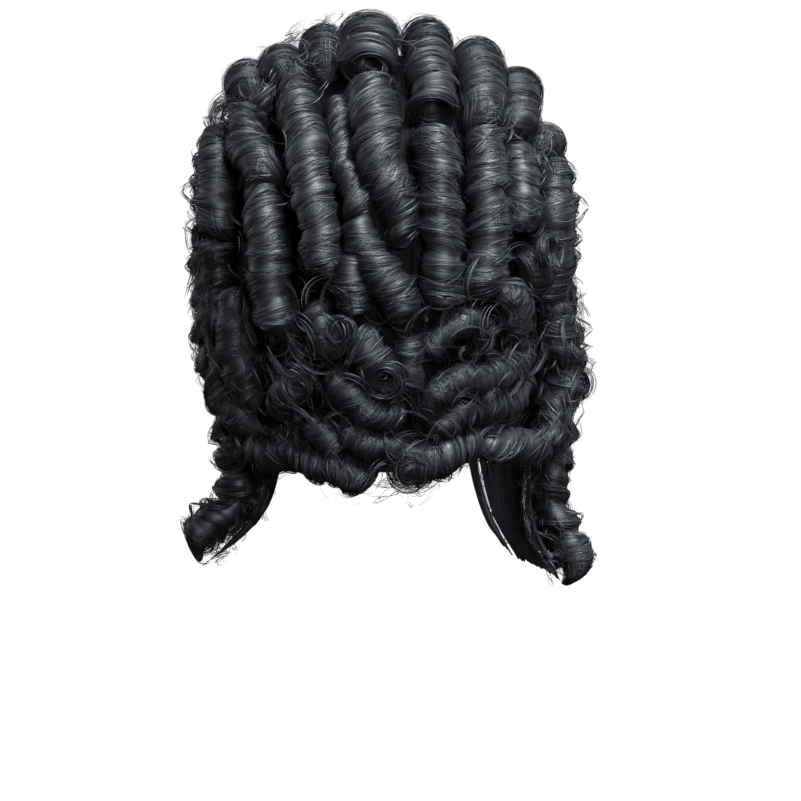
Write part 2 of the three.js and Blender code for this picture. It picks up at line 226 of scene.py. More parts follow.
first_tape, tape_step, tape_width, tape_to_rim = 0.022, 0.0135, 0.0024, 0.004
sunk, proud = 0.0002, -0.0006  # how a tape's two faces lie, out from the net's inside
tape_weave = np.array([0.3, 0.3, 3.0])
turn = np.linspace(-180, 180, 145)
for drop in np.arange(first_tape, nape_drop, tape_step):
    share = (pi / 2 - rise_to(drop)) / (pi / 2 - rise_to(rim_drop(turn)))
    shown = drop < rim_drop(turn) - tape_to_rim
    for run in np.split(np.arange(len(turn)), np.flatnonzero(np.diff(shown)) + 1):
        if shown[run[0]] and len(run) > 3:
            corners = ((sunk, 0), (proud, 0), (proud, tape_width), (sunk, tape_width))
            tape = np.stack([cap_point(turn[run], np.minimum(share[run] + low / nape_drop, 1), out)
                             for out, low in corners], 1)
            cap_parts.append((tape, [grid_faces(len(run), 4, True)], tape * tape_weave, 0))

band_sides, band_thick, band_high = 8, 0.0026, 0.006
rim = cap_point(around, 1, cap_wall / 2)
outward = unit(cap_point(around, 1, cap_wall) - cap_point(around, 1, 0))
binding = np.stack([rim + outward * (band_thick / 2) * math.cos(a)
                    + np.array([0, 0, band_high / 2 * math.sin(a)])
                    for a in np.linspace(0, tau, band_sides, endpoint=False)], 1)
binding_faces = grid_faces(meridians + 1, band_sides, True) % (meridians * band_sides)
cap_parts.append((binding, [binding_faces], binding, 0))
sew("cap_net", cap_parts, [net_finish], "cap_net", "cap")

# The crown rolls: nine barrels from the front hairline back over the head. Each is a lock of
# black synthetic fibre, wound on a rod, set with heat and stitched along the cap. Its core
# carries the form, and single fibres lie on it, part from its edges and curl in at its ends.
roll_width = 0.028
crown_core, back_core = 0.97, 0.94  # of that width, under the fibres


def hair_finish(name, dark, light, rough, relief, gloss):
    """Fine lines along the fibres, tufts greyer or darker than the rest, and a satin gleam."""
    dark_at, light_at, dull_below, satin_above, dull_rough = 0.36, 0.66, 0.24, 0.58, 0.7
    finish, thread, surface = finish_of(name)
    lay = thread.node("ShaderNodeAttribute", {"attribute_name": "lay"}, {}, "Vector")

    def streaks(across, along, detail):
        stretched = thread.node("ShaderNodeVectorMath", {"operation": "MULTIPLY"},
                                {0: lay, 1: (across, along, 1.0)})
        return thread.node("ShaderNodeTexNoise", {},
                           {"Vector": stretched, "Scale": 1.0, "Detail": detail})

    fine = streaks(1000.0, 70.0, 3.0)
    tuft = streaks(330.0, 24.0, 1.0)
    patch = streaks(90.0, 45.0, 1.0)
    colour = thread.node("ShaderNodeValToRGB", {"stops": [(dark_at, dark), (light_at, light)]},
                         {"Fac": fine * 0.5 + tuft * 0.35 + patch * 0.3})
    raised = thread.node("ShaderNodeBump", {},
                         {"Strength": 0.9, "Distance": relief, "Height": fine * 0.7 + tuft * 0.6})
    satin = thread.node("ShaderNodeMapRange", {"interpolation_type": "SMOOTHSTEP"},
                        {"Value": fine * 0.45 + tuft * 0.35 + patch * 0.2,
                         "From Min": dull_below, "From Max": satin_above})
    lay_on(surface, {"Specular IOR Level": gloss[0], "Roughness": dull_rough},
           {"Base Color": colour, "Normal": raised})
    shining = thread.node("ShaderNodeBsdfPrincipled", {},
                          {"Base Color": colour, "Normal": raised, "Specular IOR Level": gloss[1],
                           "Roughness": rough + (tuft - 0.5) * 0.4})
    worn = thread.node("ShaderNodeMixShader", {},
                       {0: satin, 1: Thread(thread.tree, surface.outputs[0]), 2: shining})
    target = next(n for n in thread.tree.nodes if n.type == "OUTPUT_MATERIAL")
    thread.tree.links.new(worn.socket, target.inputs["Surface"])
    return finish


curled_finish = hair_finish("curled_hair", (0.0012, 0.0012, 0.0015), (0.0054, 0.0058, 0.0072),
                            rough=0.54, relief=0.00026, gloss=(0.24, 0.57))
# The cores' finish is darker than the fibres': painted shade, for the shade that falls under the
# fibres lying on them.
core_painted_shade_finish = hair_finish("hair_within_painted_shade", (0.0004, 0.0004, 0.0006), (0.0022, 0.0024, 0.0032),
                           rough=0.52, relief=0.0005, gloss=(0.1, 0.5))


def through(values, share):
    """A smooth line through evenly spaced values."""
    values = np.asarray(values, float)
    last = len(values) - 1
    place = np.clip(share, 0, 1) * last
    at = np.floor(place).astype(int)
    w = (place - at)[..., None] if values.ndim > 1 else place - at
    p0, p1, p2, p3 = (values[np.clip(at + i, 0, last)] for i in (-1, 0, 1, 2))
    v0, v1 = (p2 - p0) / 2, (p3 - p1) / 2
    return ((2 * p1 - 2 * p2 + v0 + v1) * w ** 3 + (3 * p2 - 3 * p1 - 2 * v0 - v1) * w ** 2
            + v0 * w + p1)


def over_head(across, over, lift):
    """A point over the cap and its normal, across to the wearer's right and over from the back."""
    half_width, half_length = head_width / 2 + cap_wall, head_length / 2 + cap_wall
    arc = np.sqrt(np.maximum(1 - across ** 2, 0))
    x, y, z = across, arc * np.cos(np.radians(over)), arc * np.sin(np.radians(over))
    height = np.where(z > 0, crown_height, nape_taper) + cap_wall
    normal = unit(np.stack([-x / half_width, y / half_length, z / height], -1))
    point = np.stack([-x * half_width, y * half_length, z * height - crown_height], -1)
    return point + normal * lift[..., None], normal


def tones(chance, wisps, hairs):
    """A place in the finish for each hair, close to that of the other hairs in its wisp."""
    return np.repeat(chance.uniform(0, 3, wisps), hairs) + chance.uniform(0, 0.0012, wisps * hairs)


def ribbon_faces(count, steps):
    """Faces of ribbons that have two points at each step."""
    return (grid_faces(steps, 2) + (np.arange(count) * steps * 2)[:, None, None]).reshape(-1, 4)


def fibres(line, outward, tilt, thick, taper, lay):
    """Flat fibres along lines of points: they face outward but for a tilt, and taper."""
    count, steps = line.shape[:2]
    ahead = unit(np.gradient(line, axis=1), 1e-12)
    across = unit(np.cross(ahead, outward), 1e-12)
    tilt = tilt[:, None, None]
    across = across * np.cos(tilt) + outward * np.sin(tilt)
    u = np.linspace(-1, 1, steps)[None, :]
    half = (thick[:, None] / 2 * (1 - taper * np.abs(u) ** 3))[..., None]
    edges = np.stack([line - across * half, line + across * half], 2)
    return edges, [ribbon_faces(count, steps)], lay, 0


class Lock:
    """The line, girth and twist of one lock of hair, with its pitch and its hair's disorder."""

    # The rings at each kind of end, from its tip: how far along, and the share of the radius
    end_rings = {"open": [(0.015, 0.2), (0.010, 0.5), (0.004, 0.64), (0.001, 0.72),
                          (0.0008, 0.82), (0.0022, 0.93)],
                 "closed": [(0.0002, 1), (0.0007, 1), (0.0014, 1)],
                 "joined": [(-0.004, 0.9), (-0.0015, 1), (0.001, 1)]}
    # The swells along a barrel: how long each is, and its depth as a share of the radius
    swells = ((0.034, 0.055), (0.019, 0.05), (0.0125, 0.035), (0.0078, 0.016))

    def __init__(self, place, route, girth, width, seed, groove, loose, handed, lift=(0, 0),
                 flat=1.0, base=0.0, pitch=0.010, ends=("closed", "closed"), coil=None):
        t = np.linspace(0, 1, 600)
        stops = through(route, t)
        self.radius = through(girth, t) * width / 2
        rise = seat + base + self.radius * flat + through(lift, t) * width
        self.line, normal = place(stops[:, 0], stops[:, 1], rise)
        step = np.linalg.norm(np.diff(self.line, axis=0), axis=1)
        self.s = np.concatenate([[0], np.cumsum(step)])
        self.length = self.s[-1]
        self.along = unit(np.gradient(self.line, self.s, axis=0))
        self.up = unit(normal - (normal * self.along).sum(1, keepdims=True) * self.along)
        self.side = np.cross(self.along, self.up)
        long_sway, short_sway, sway_depth = 0.041, 0.023, 0.0008
        sway = (np.sin(tau * self.s / long_sway + seed)
                + 0.6 * np.sin(tau * self.s / short_sway + 2.3 * seed))
        self.line = self.line + self.side * (sway_depth * sway)[:, None]
        if coil:
            depth, coil_pitch = coil
            spun = (handed * tau * self.s / coil_pitch)[:, None]
            round_it = self.up * (1 + np.cos(spun)) + self.side * np.sin(spun)
            self.line = self.line + depth * round_it
        self.seed, self.flat, self.pitch, self.groove = seed, flat, pitch, groove
        self.loose, self.handed, self.ends = loose, handed, ends
        self.chance = np.random.default_rng(seed)
        self.waves = [(self.chance.uniform(1.0, 1.6) / length, self.chance.uniform(0, tau), depth)
                      for length, depth in self.swells]
        self.lean = self.chance.uniform(0, tau)

    def form(self, s, turn):
        """How far the barrel's surface stands out, as a share of its radius."""
        wound = s + self.handed * self.pitch * turn / tau
        drift, drift_length = 0.0012, 0.011
        wound = wound + drift * np.sin(wound / drift_length + self.lean)
        swell = sum(a * np.sin(tau * f * wound + phase) for f, phase, a in self.waves)
        valley = 1 - np.abs(np.sin(pi * (wound / self.pitch))) ** 0.6
        return 1 + swell * (0.6 + self.loose) - self.groove * valley

    def pick(self, values, s):
        """Values of the lock's line at lengths along it."""
        return np.stack([np.interp(s, self.s, values[:, i]) for i in range(3)], -1)

    def at(self, s, turn, out):
        """The point at a length along, a turn round from the outside and a share of the radius."""
        closing_radii, tuck, roundness = 0.95, 0.8, 2.6  # how a closed end goes in and down
        inside = np.clip(s, 0, self.length)
        line, up, side, along = (self.pick(v, inside)
                                 for v in (self.line, self.up, self.side, self.along))
        radius = np.interp(inside, self.s, self.radius)
        reach = radius * out * self.form(s, turn)
        for kind, left in zip(self.ends, (s, self.length - s)):
            if kind == "closed":
                closing = np.clip(1 - left / (closing_radii * self.radius.mean()), 0, 0.99)
                reach = reach * np.sqrt(1 - closing ** roundness)
                line = line - up * (radius * tuck * closing ** 2)[..., None]
        return (line + along * (s - inside)[..., None]
                + up * (reach * self.flat * np.cos(turn))[..., None]
                + side * (reach * np.sin(turn))[..., None])

    def core(self):
        """The barrel itself, with each end going in as an open roll's does."""
        ring_spacing, sides, within, margin = 0.0026, 20, 0.87, 0.0024
        s = np.linspace(0, self.length, max(6, int(self.length / ring_spacing)))
        s = s[(s > margin) & (s < self.length - margin)]
        size = np.ones(len(s))
        for end, kind in enumerate(self.ends):
            place, narrow = np.array(self.end_rings[kind]).T
            if end:
                place, narrow = self.length - place[::-1], narrow[::-1]
            s = np.concatenate([s, place] if end else [place, s])
            size = np.concatenate([size, narrow] if end else [narrow, size])
        size, radius = size[:, None], self.radius.mean()
        turn = np.linspace(-pi, pi, sides, endpoint=False)
        ss, tt = np.broadcast_arrays(s[:, None], turn[None, :])
        points = self.at(ss, tt, within * size)
        lay = np.stack([ss + self.handed * self.pitch * tt / tau + (1 - size) * radius,
                        tt * radius, np.full(ss.shape, self.seed * 3.7)], -1)
        tips = np.stack([points[0].mean(0), points[-1].mean(0)])
        # The core takes the second finish, whose darker colour is painted shade under the fibres.
        return (np.concatenate([points.reshape(-1, 3), tips]),
                inside_out(tube_faces(len(s), sides)),
                np.concatenate([lay.reshape(-1, 3), lay[0, :1], lay[-1, :1]]), 1)

    def shared(self, values, hairs, spread):
        """What the hairs of each wisp share, with a little of its own for each."""
        own = self.chance.normal(0, 1, len(values) * hairs) * spread
        return (np.repeat(values, hairs) + own)[:, None]

    def strands(self, count):
        """Fibres wound on the barrel in flat wisps, each a ribbon that ends in a point."""
        c, wisp, steps, thick = self.chance, 8, 10, 0.00037
        wisps = max(1, count // wisp)
        count = wisps * wisp
        u = np.linspace(-0.5, 0.5, steps)[None, :]
        place = c.uniform(-0.001, self.length + 0.001, wisps)
        place -= self.groove * 1.2 * self.pitch * ((place / self.pitch) % 1 - 0.5)
        s0 = self.shared(place, wisp, 0.0009)
        turns = self.shared(c.uniform(0.32, 0.85, wisps) * tau * (1 - 0.2 * self.loose), wisp, 0.25)
        middle = self.shared(c.normal(0, 1.15, wisps), wisp, 0.25)
        uneven = (0.3 + 0.8 * self.loose) * (1 - 2 * self.groove)
        own_pitch = self.shared(self.pitch * c.normal(1.0, uneven, wisps), wisp, 0.05 * self.pitch)
        bow = self.shared(c.normal(0, 0.0006 + 0.0016 * self.loose, wisps), wisp, 0.0001)
        phase = self.shared(c.uniform(0, tau, wisps), wisp, 0.1)
        rise = self.shared(c.gamma(1.3, 0.009 + 0.024 * self.loose, wisps), wisp, 0.004)
        frizz = (c.uniform(0, 1, wisps) < 0.3 + 0.3 * self.loose) * c.uniform(0.03, 0.2, wisps)
        turn = middle + turns * u
        s = s0 - self.handed * own_pitch * turns * u / tau + bow * np.sin(u * 6 + phase)
        room = [self.radius.mean() * 0.22 if kind == "closed" else -0.0035 for kind in self.ends]
        s = np.clip(s, room[0], self.length - room[1])
        single = (c.uniform(0, 1, count) < 0.05) * c.uniform(0.05, 0.3, count)
        parted = (np.repeat(frizz, wisp) + single)[:, None] * (2 * np.abs(u)) ** 4
        out, tone = 0.92 + np.abs(rise) + parted, tones(c, wisps, wisp)
        return self.ribbons(s, turn, out, thick * c.uniform(0.55, 1.5, count), tone)

    def springs(self, wisps, reach):
        """Wisps that leave the barrel, bow outward along it and come back in further down."""
        c, hairs, steps, thick = self.chance, 8, 12, 0.00036
        v = np.linspace(0, 1, steps)[None, :]
        far = self.shared(c.uniform(0.010, 0.022, wisps), hairs, 0.0006)
        s = self.shared(c.uniform(-0.002, self.length - 0.008, wisps), hairs, 0.0006) + far * v
        middle = self.shared(c.normal(0, 0.9, wisps), hairs, 0.07)
        round_it = self.handed * self.shared(c.uniform(0.6, 2.0, wisps), hairs, 0.1)
        turn = middle + round_it * (0.5 - v)
        bow = np.abs(self.shared(reach * c.uniform(0.35, 1, wisps), hairs, 0.06))
        out = 0.8 + bow * np.sin(pi * v) ** 0.8
        tone = tones(c, wisps, hairs)
        return self.ribbons(s, turn, out, thick * c.uniform(0.6, 1.3, wisps * hairs), tone)

    def hooks(self, end, count):
        """Fibres that sweep over a closed end from one side of the roll to the other."""
        c, hairs, steps, thick = self.chance, 6, 10, 0.0004
        wisps, radius = count // hairs, self.radius.mean()
        count = wisps * hairs
        lean = self.shared(c.normal(0, 0.5, wisps), hairs, 0.12)
        bend = np.linspace(-1.5, 1.5, steps)[None, :] * c.uniform(0.55, 1.0, count)[:, None]
        bend = bend + c.normal(0, 0.2, count)[:, None]
        turn = np.where(bend < 0, -pi / 2, pi / 2) + lean
        left = radius * 1.15 * (1 - np.cos(bend)) + np.abs(bend) * 0.0008
        out = 1.03 + np.abs(c.gamma(1.2, 0.03, count))[:, None] + 0 * bend
        centre = self.pick(self.line, self.length - radius if end else radius)
        tone = tones(c, wisps, hairs)
        return self.ribbons(self.length - left if end else left, turn, out,
                            thick * c.uniform(0.6, 1.4, count), tone, centre)

    def whorl(self, end, count):
        """Fibres that curl in round the open end of a roll."""
        c, steps, thick = self.chance, 20, 0.0004
        u = np.linspace(0, 1, steps)[None, :]
        start = c.uniform(0, tau, count)[:, None]
        turn = start + self.handed * c.uniform(0.7, 1.35, count)[:, None] * tau * u
        out = c.uniform(0.86, 1.0, count)[:, None] - u * c.uniform(0.2, 0.55, count)[:, None]
        inward = c.uniform(-0.0012, 0.0012, count)[:, None] + u * 0.0025
        return self.ribbons(self.length - inward if end else inward, turn, out,
                            thick * c.uniform(0.6, 1.2, count), c.uniform(0, 3, count))

    def ribbons(self, s, turn, out, thick, tone, centre=None):
        """Fibres on the barrel, that face away from its line or from a centre."""
        line = self.at(s, turn, out)
        if centre is None:
            up, side = (self.pick(v, np.clip(s, 0, self.length)) for v in (self.up, self.side))
            outward = up * np.cos(turn)[..., None] + side * np.sin(turn)[..., None]
        else:
            outward = unit(line - centre)
        lay = np.stack([np.broadcast_to(tone[:, None], s.shape), turn * 0.01,
                        np.full(s.shape, self.seed * 1.3)], -1)
        lay = np.repeat(lay[:, :, None], 2, 2)
        lay[:, :, 0, 0] -= thick[:, None] / 2
        lay[:, :, 1, 0] += thick[:, None] / 2
        return fibres(line, outward, self.chance.normal(0, 0.38, len(s)), thick, 0.88, lay)


def dress(node, lock, density=4000, springs=0, reach=0.5):
    """The hair that stands for a curl: its barrel, fibres and springs by the metre, and ends."""
    parts, end_hairs = [lock.core(), lock.strands(int(density * lock.length))], 72
    if springs:
        parts.append(lock.springs(int(springs * lock.length), reach))
    for end, kind in enumerate(lock.ends):
        if kind == "open":
            parts.append(lock.whorl(end, end_hairs))
        elif kind == "closed":
            parts.append(lock.hooks(end, end_hairs))
    sew(node + "_hair", parts, [curled_finish, core_painted_shade_finish], "curled_hair", node)


# They are numbered from the wearer's left to the right
crown_rolls = {
    5: dict(route=[(0.22, 151), (0.24, 100), (0.27, 36)], girth=[0.85, 1, 1],
            ends=("closed", "open")),
    4: dict(route=[(-0.08, 152), (-0.07, 105), (-0.08, 52)], girth=[0.95, 1.14, 1.16],
            flat=0.86, ends=("closed", "open")),
    6: dict(route=[(0.52, 150), (0.52, 100), (0.57, 36)], girth=[0.85, 1.1, 0.95]),
    3: dict(route=[(-0.34, 151), (-0.34, 100), (-0.33, 60)], girth=[0.75, 0.98, 0.85]),
    2: dict(route=[(-0.57, 150), (-0.56, 100), (-0.55, 60)], girth=[0.75, 0.98, 0.85],
            lift=[0, 0.1, 0.1]),
    1: dict(route=[(-0.77, 140), (-0.71, 95), (-0.71, 60)], girth=[0.8, 1, 0.9],
            lift=[0.15, 0.3, 0.3]),
    7: dict(route=[(0.78, 145), (0.73, 95), (0.72, 40)], girth=[0.8, 0.95, 0.9],
            lift=[0.1, 0.25, 0.2]),
    8: dict(route=[(0.9, 132), (0.9, 90), (0.88, 50)], girth=[0.7, 0.85, 0.8],
            lift=[0.05, 0.2, 0.25]),
    9: dict(route=[(-0.9, 132), (-0.9, 100), (-0.89, 68)], girth=[0.7, 0.85, 0.8],
            lift=[0.05, 0.1]),
}
for number, (mark, row) in enumerate(crown_rolls.items()):
    dress(f"crown_roll_{mark}",
          Lock(over_head, width=roll_width * crown_core, seed=11 + number, groove=0.02,
               loose=0.55, handed=1 if number % 2 else -1, **row))

# The back rolls: barrels of the same fibre and size, wound and set in the same way, that carry
# on down the back of the head to the top of the nape. They are stitched side by side, upright.
back_rolls = {
    "5": dict(route=[(-0.04, 46), (-0.04, 31), (0, 17), (0.1, 5), (0.12, -4)],
              girth=[1, 1.08, 1, 0.8, 0.6], pitch=0.022, ends=("closed", "closed")),
    "6": dict(route=[(0.29, 32), (0.29, 20), (0.32, 6), (0.32, -5), (0.34, -12)],
              girth=[1.05, 1, 0.92, 0.92, 0.85], ends=("closed", "open")),
    "7": dict(route=[(0.58, 32), (0.57, 18), (0.59, 2), (0.56, -7), (0.54, -15)],
              girth=[0.9, 0.9, 0.94, 0.94, 0.85]),
    "8": dict(route=[(0.77, 36), (0.79, 20), (0.8, 6), (0.79, -2)],
              girth=[0.85, 0.86, 0.86, 0.7]),
    "3": dict(route=[(-0.5, 54), (-0.43, 34), (-0.38, 14), (-0.34, 0), (-0.3, -9)],
              girth=[0.8, 0.92, 0.92, 0.9, 0.85]),
    "2": dict(route=[(-0.75, 54), (-0.72, 34), (-0.63, 16)], girth=[0.85, 0.92, 0.9],
              lift=[0.15, 0]),
    "2_lower": dict(route=[(-0.68, 12), (-0.62, -2), (-0.61, -12), (-0.54, -23)],
                    girth=[0.8, 0.96, 0.96, 0.8]),
    "5_lower": dict(route=[(-0.13, 0), (-0.02, -7), (0.08, -11), (0.16, -16)],
                    girth=[0.7, 0.86, 0.88, 0.8]),
    "4": dict(route=[(-0.26, 46), (-0.24, 30), (-0.18, 14), (-0.1, 2)],
              girth=[0.5, 0.55, 0.62, 0.62], ends=("closed", "closed")),
    "1": dict(route=[(-0.88, 66), (-0.92, 36), (-0.94, -6)], girth=[0.8, 1, 0.95],
              lift=[0.4, 0.08, 0]),
    "9": dict(route=[(0.93, 60), (0.94, 30), (0.95, 0), (0.95, -42)],
              girth=[0.85, 0.98, 1, 0.85], lift=[0.25, 0.12, 0.12, 0.1]),
}
for number, (mark, row) in enumerate(back_rolls.items()):
    row = dict(pitch=0.009 + 0.0035 * (number % 3), ends=("joined", "closed")) | row
    dress(f"back_roll_{mark}",
          Lock(over_head, width=roll_width * back_core, seed=31 + number, groove=0.02,
               loose=0.55, handed=1 if number % 2 else -1, **row))

# The nape: shorter and looser curls of the same fibre, some lying across the head and some
# hooked. They are stitched to the net between the back rolls and the cap's lower edge.
nape_curl_width = 0.021
nape_curls = {
    1: dict(route=[(-0.2, -3), (-0.16, -9), (-0.13, -15)], girth=[0.8, 0.95, 0.95]),
    2: dict(route=[(-0.15, -16.5), (-0.07, -20), (0.02, -25)], girth=[0.9, 1, 1.05],
            lift=[0.05, 0.05]),
    3: dict(route=[(0.22, -23), (0.35, -19), (0.52, -18.5), (0.63, -25)],
            girth=[0.7, 0.8, 0.8, 0.7]),
    4: dict(route=[(0.23, -35), (0.33, -30), (0.52, -31), (0.74, -38), (0.86, -42)],
            girth=[0.75, 0.9, 0.95, 0.9, 0.8]),
    5: dict(route=[(-0.32, -26), (-0.18, -29.5), (-0.02, -32.5), (0.15, -32)],
            girth=[0.8, 0.92, 0.92, 0.8]),
    6: dict(route=[(-0.6, -52), (-0.35, -46.5), (-0.18, -46), (-0.06, -49)],
            girth=[0.85, 1, 1.05, 1], lift=[0.05, 0.05]),
    7: dict(route=[(0.05, -43.5), (0.21, -43.5), (0.4, -44.5), (0.6, -49)],
            girth=[1.28, 1.22, 1.08, 0.85]),
    8: dict(route=[(0.26, -38.5), (0.42, -36.5), (0.6, -41), (0.76, -50), (0.86, -56)],
            girth=[0.8, 0.95, 0.95, 0.8]),
    9: dict(route=[(-0.46, -27), (-0.52, -34), (-0.62, -43)], girth=[0.8, 0.95, 0.8]),
    10: dict(route=[(-0.24, -35), (-0.12, -38), (0.02, -39.5), (0.16, -38)],
             girth=[0.75, 0.9, 0.9, 0.75]),
    11: dict(route=[(-0.42, -37), (-0.3, -40), (-0.2, -41)], girth=[0.8, 0.95, 0.75]),
    12: dict(route=[(0.7, -13), (0.76, -21), (0.78, -31)], girth=[0.85, 1, 0.85]),
    13: dict(route=[(0.83, -5), (0.86, -13), (0.9, -24)], girth=[0.9, 1.05, 0.9], lift=[0.1, 0.1]),
    14: dict(route=[(-0.4, -13), (-0.33, -19), (-0.26, -23.5)], girth=[0.7, 0.85, 0.75]),
    15: dict(route=[(0.1, -18), (0.16, -23), (0.14, -29)], girth=[0.75, 0.9, 0.8]),
    16: dict(route=[(-0.88, -20), (-0.83, -39), (-0.75, -56)], girth=[0.9, 1.15, 0.95]),
}
for number, row in nape_curls.items():
    dress(f"nape_curl_{number}",
          Lock(over_head, width=nape_curl_width, seed=60 + number, groove=0.10, loose=0.6,
               handed=1 if number % 2 else -1, pitch=0.012, **row), density=4300)

# The side hair: a roll behind each temple, a waved lock behind each ear, and a curl that joins
# the nape to it. They are stitched at the cap's edge and hang free beside the neck.
ringlet_width, lappet_wall = 0.020, 0.003
lappet_back, lappet_front, lappet_drop = 94, 150, 0.294


def side_face(around, drop):
    """The face that the side hair lies on, by degrees round and a share of the whole drop."""
    z = -drop * lappet_drop
    fallen = np.maximum(0, (-z - crown_height) / (lappet_drop - crown_height))
    rise = np.clip((z + crown_height) / (crown_height + cap_wall), 0, 1)
    girth = np.sqrt(1 - rise ** 2)
    forward = np.clip((np.abs(around) - lappet_back) / (lappet_front - lappet_back), 0, 1) ** 2
    # How far out the back and front edges hang as they fall, in ringlet widths
    left = (through([0, 0, -0.3, -0.8, -0.35, 1.8], fallen),
            through([0, 0.3, 0.7, 0.9, 1.5, 3.4], fallen))
    right = (through([0, 0.2, 0.3, 0, 0.1, 1], fallen),
             through([0, 0.1, 0.25, 0.35, 0.85, 1.9], fallen))
    back, front = (np.where(around < 0, a, b) for a, b in zip(left, right))
    out = (back + (front - back) * forward) * ringlet_width
    turn = np.radians(around)
    across = np.sin(turn) * (head_width / 2 + cap_wall) * girth + np.sign(around) * out
    return np.stack([-across, np.cos(turn) * (head_length / 2 + cap_wall) * girth, z], -1)


def beside_head(around, drop, lift):
    """A point a lift out from that face, and the normal there."""
    downward = side_face(around, drop + 0.01) - side_face(around, drop - 0.01)
    onward = side_face(around + 1, drop) - side_face(around - 1, drop)
    normal = unit(np.cross(downward, onward))
    return side_face(around, drop) + normal * np.asarray(lift)[..., None], normal


side_hair = {
    "side_roll_left": dict(route=[(-88, 0.12), (-88, 0.22), (-86, 0.33)], girth=[1, 1.25, 1.1]),
    "side_roll_right": dict(route=[(88, 0.15), (88, 0.25), (88, 0.4)], girth=[1, 1.25, 1.1]),
    "side_lock_left": dict(route=[(-78, 0.31), (-82, 0.43), (-76, 0.55), (-70, 0.68)],
                           girth=[1, 1.05, 1.05, 0.95]),
    "side_lock_right": dict(route=[(78, 0.42), (80, 0.52), (84, 0.6), (74, 0.71)],
                            girth=[0.9, 1.1, 1.15, 0.85]),
    "nape_fall_left": dict(route=[(-43, 0.705), (-60, 0.715), (-73, 0.69)], girth=[0.7, 1.1, 0.6],
                           lift=[-0.8, -0.4, 0]),
    "nape_fall_right": dict(route=[(41, 0.685), (58, 0.7), (73, 0.685)], girth=[0.7, 1.1, 0.6],
                            lift=[-0.8, -0.4, 0]),
}
for number, (name, row) in enumerate(side_hair.items()):
    dress(name, Lock(beside_head, width=ringlet_width, seed=90 + number, groove=0.16, loose=0.9,
                     handed=1 if number % 2 else -1, pitch=0.015, coil=(0.0012, 0.045), **row),
          density=4200, springs=120, reach=0.8)

# The lappets: two curtains of hair in front of the shoulders. Smooth fibre, combed flat and left
# straight, is stitched to the cap's sides to back the ringlets. A strand parts from the right one.
# The straight fibre is lighter than the rolls' black fibre. That extra lightness is painted light,
# for the light that its faces toward the neck do not get.
lappet_finish_with_painted_light = hair_finish("straight_hair", (0.012, 0.0123, 0.0140), (0.028, 0.0285, 0.0330),
                              rough=0.55, relief=0.0002, gloss=(0.05, 0.25))
lappet_top = 0.2  # of the whole drop
lappet_edge = 0.0002  # taken off each face for the fibres that lie on it
middle, half_wall = seat + lappet_wall / 2, lappet_wall / 2
# A pair is a value at the top and at the bottom, or at the back and at the front
lappets = {
    "lappet_left": dict(side=-1, back=(0, 0), front=(1, 1), bottom=(0.946, 0.86)),
    "lappet_right": dict(side=1, back=(0, 0), front=(0.94, 0.87), bottom=(0.972, 0.955)),
    "strand_right": dict(side=1, back=(0.95, 0.92), front=(1, 1), bottom=(0.95, 0.925),
                         columns=14, hairs=100),
}


def between(pair, share):
    """A share of the way from a pair's first value to its second."""
    return pair[0] + (pair[1] - pair[0]) * share


def lappet_point(row, u, v, lift):
    """A point of a lappet, a share of the way to its front and to its lower edge."""
    back = between(row["back"], v)
    forward = back + (between(row["front"], v) - back) * u
    around = row["side"] * (lappet_back + (lappet_front - lappet_back) * forward)
    drop = lappet_top + (between(row["bottom"], u) - lappet_top) * v
    return beside_head(around, drop, lift)[0]


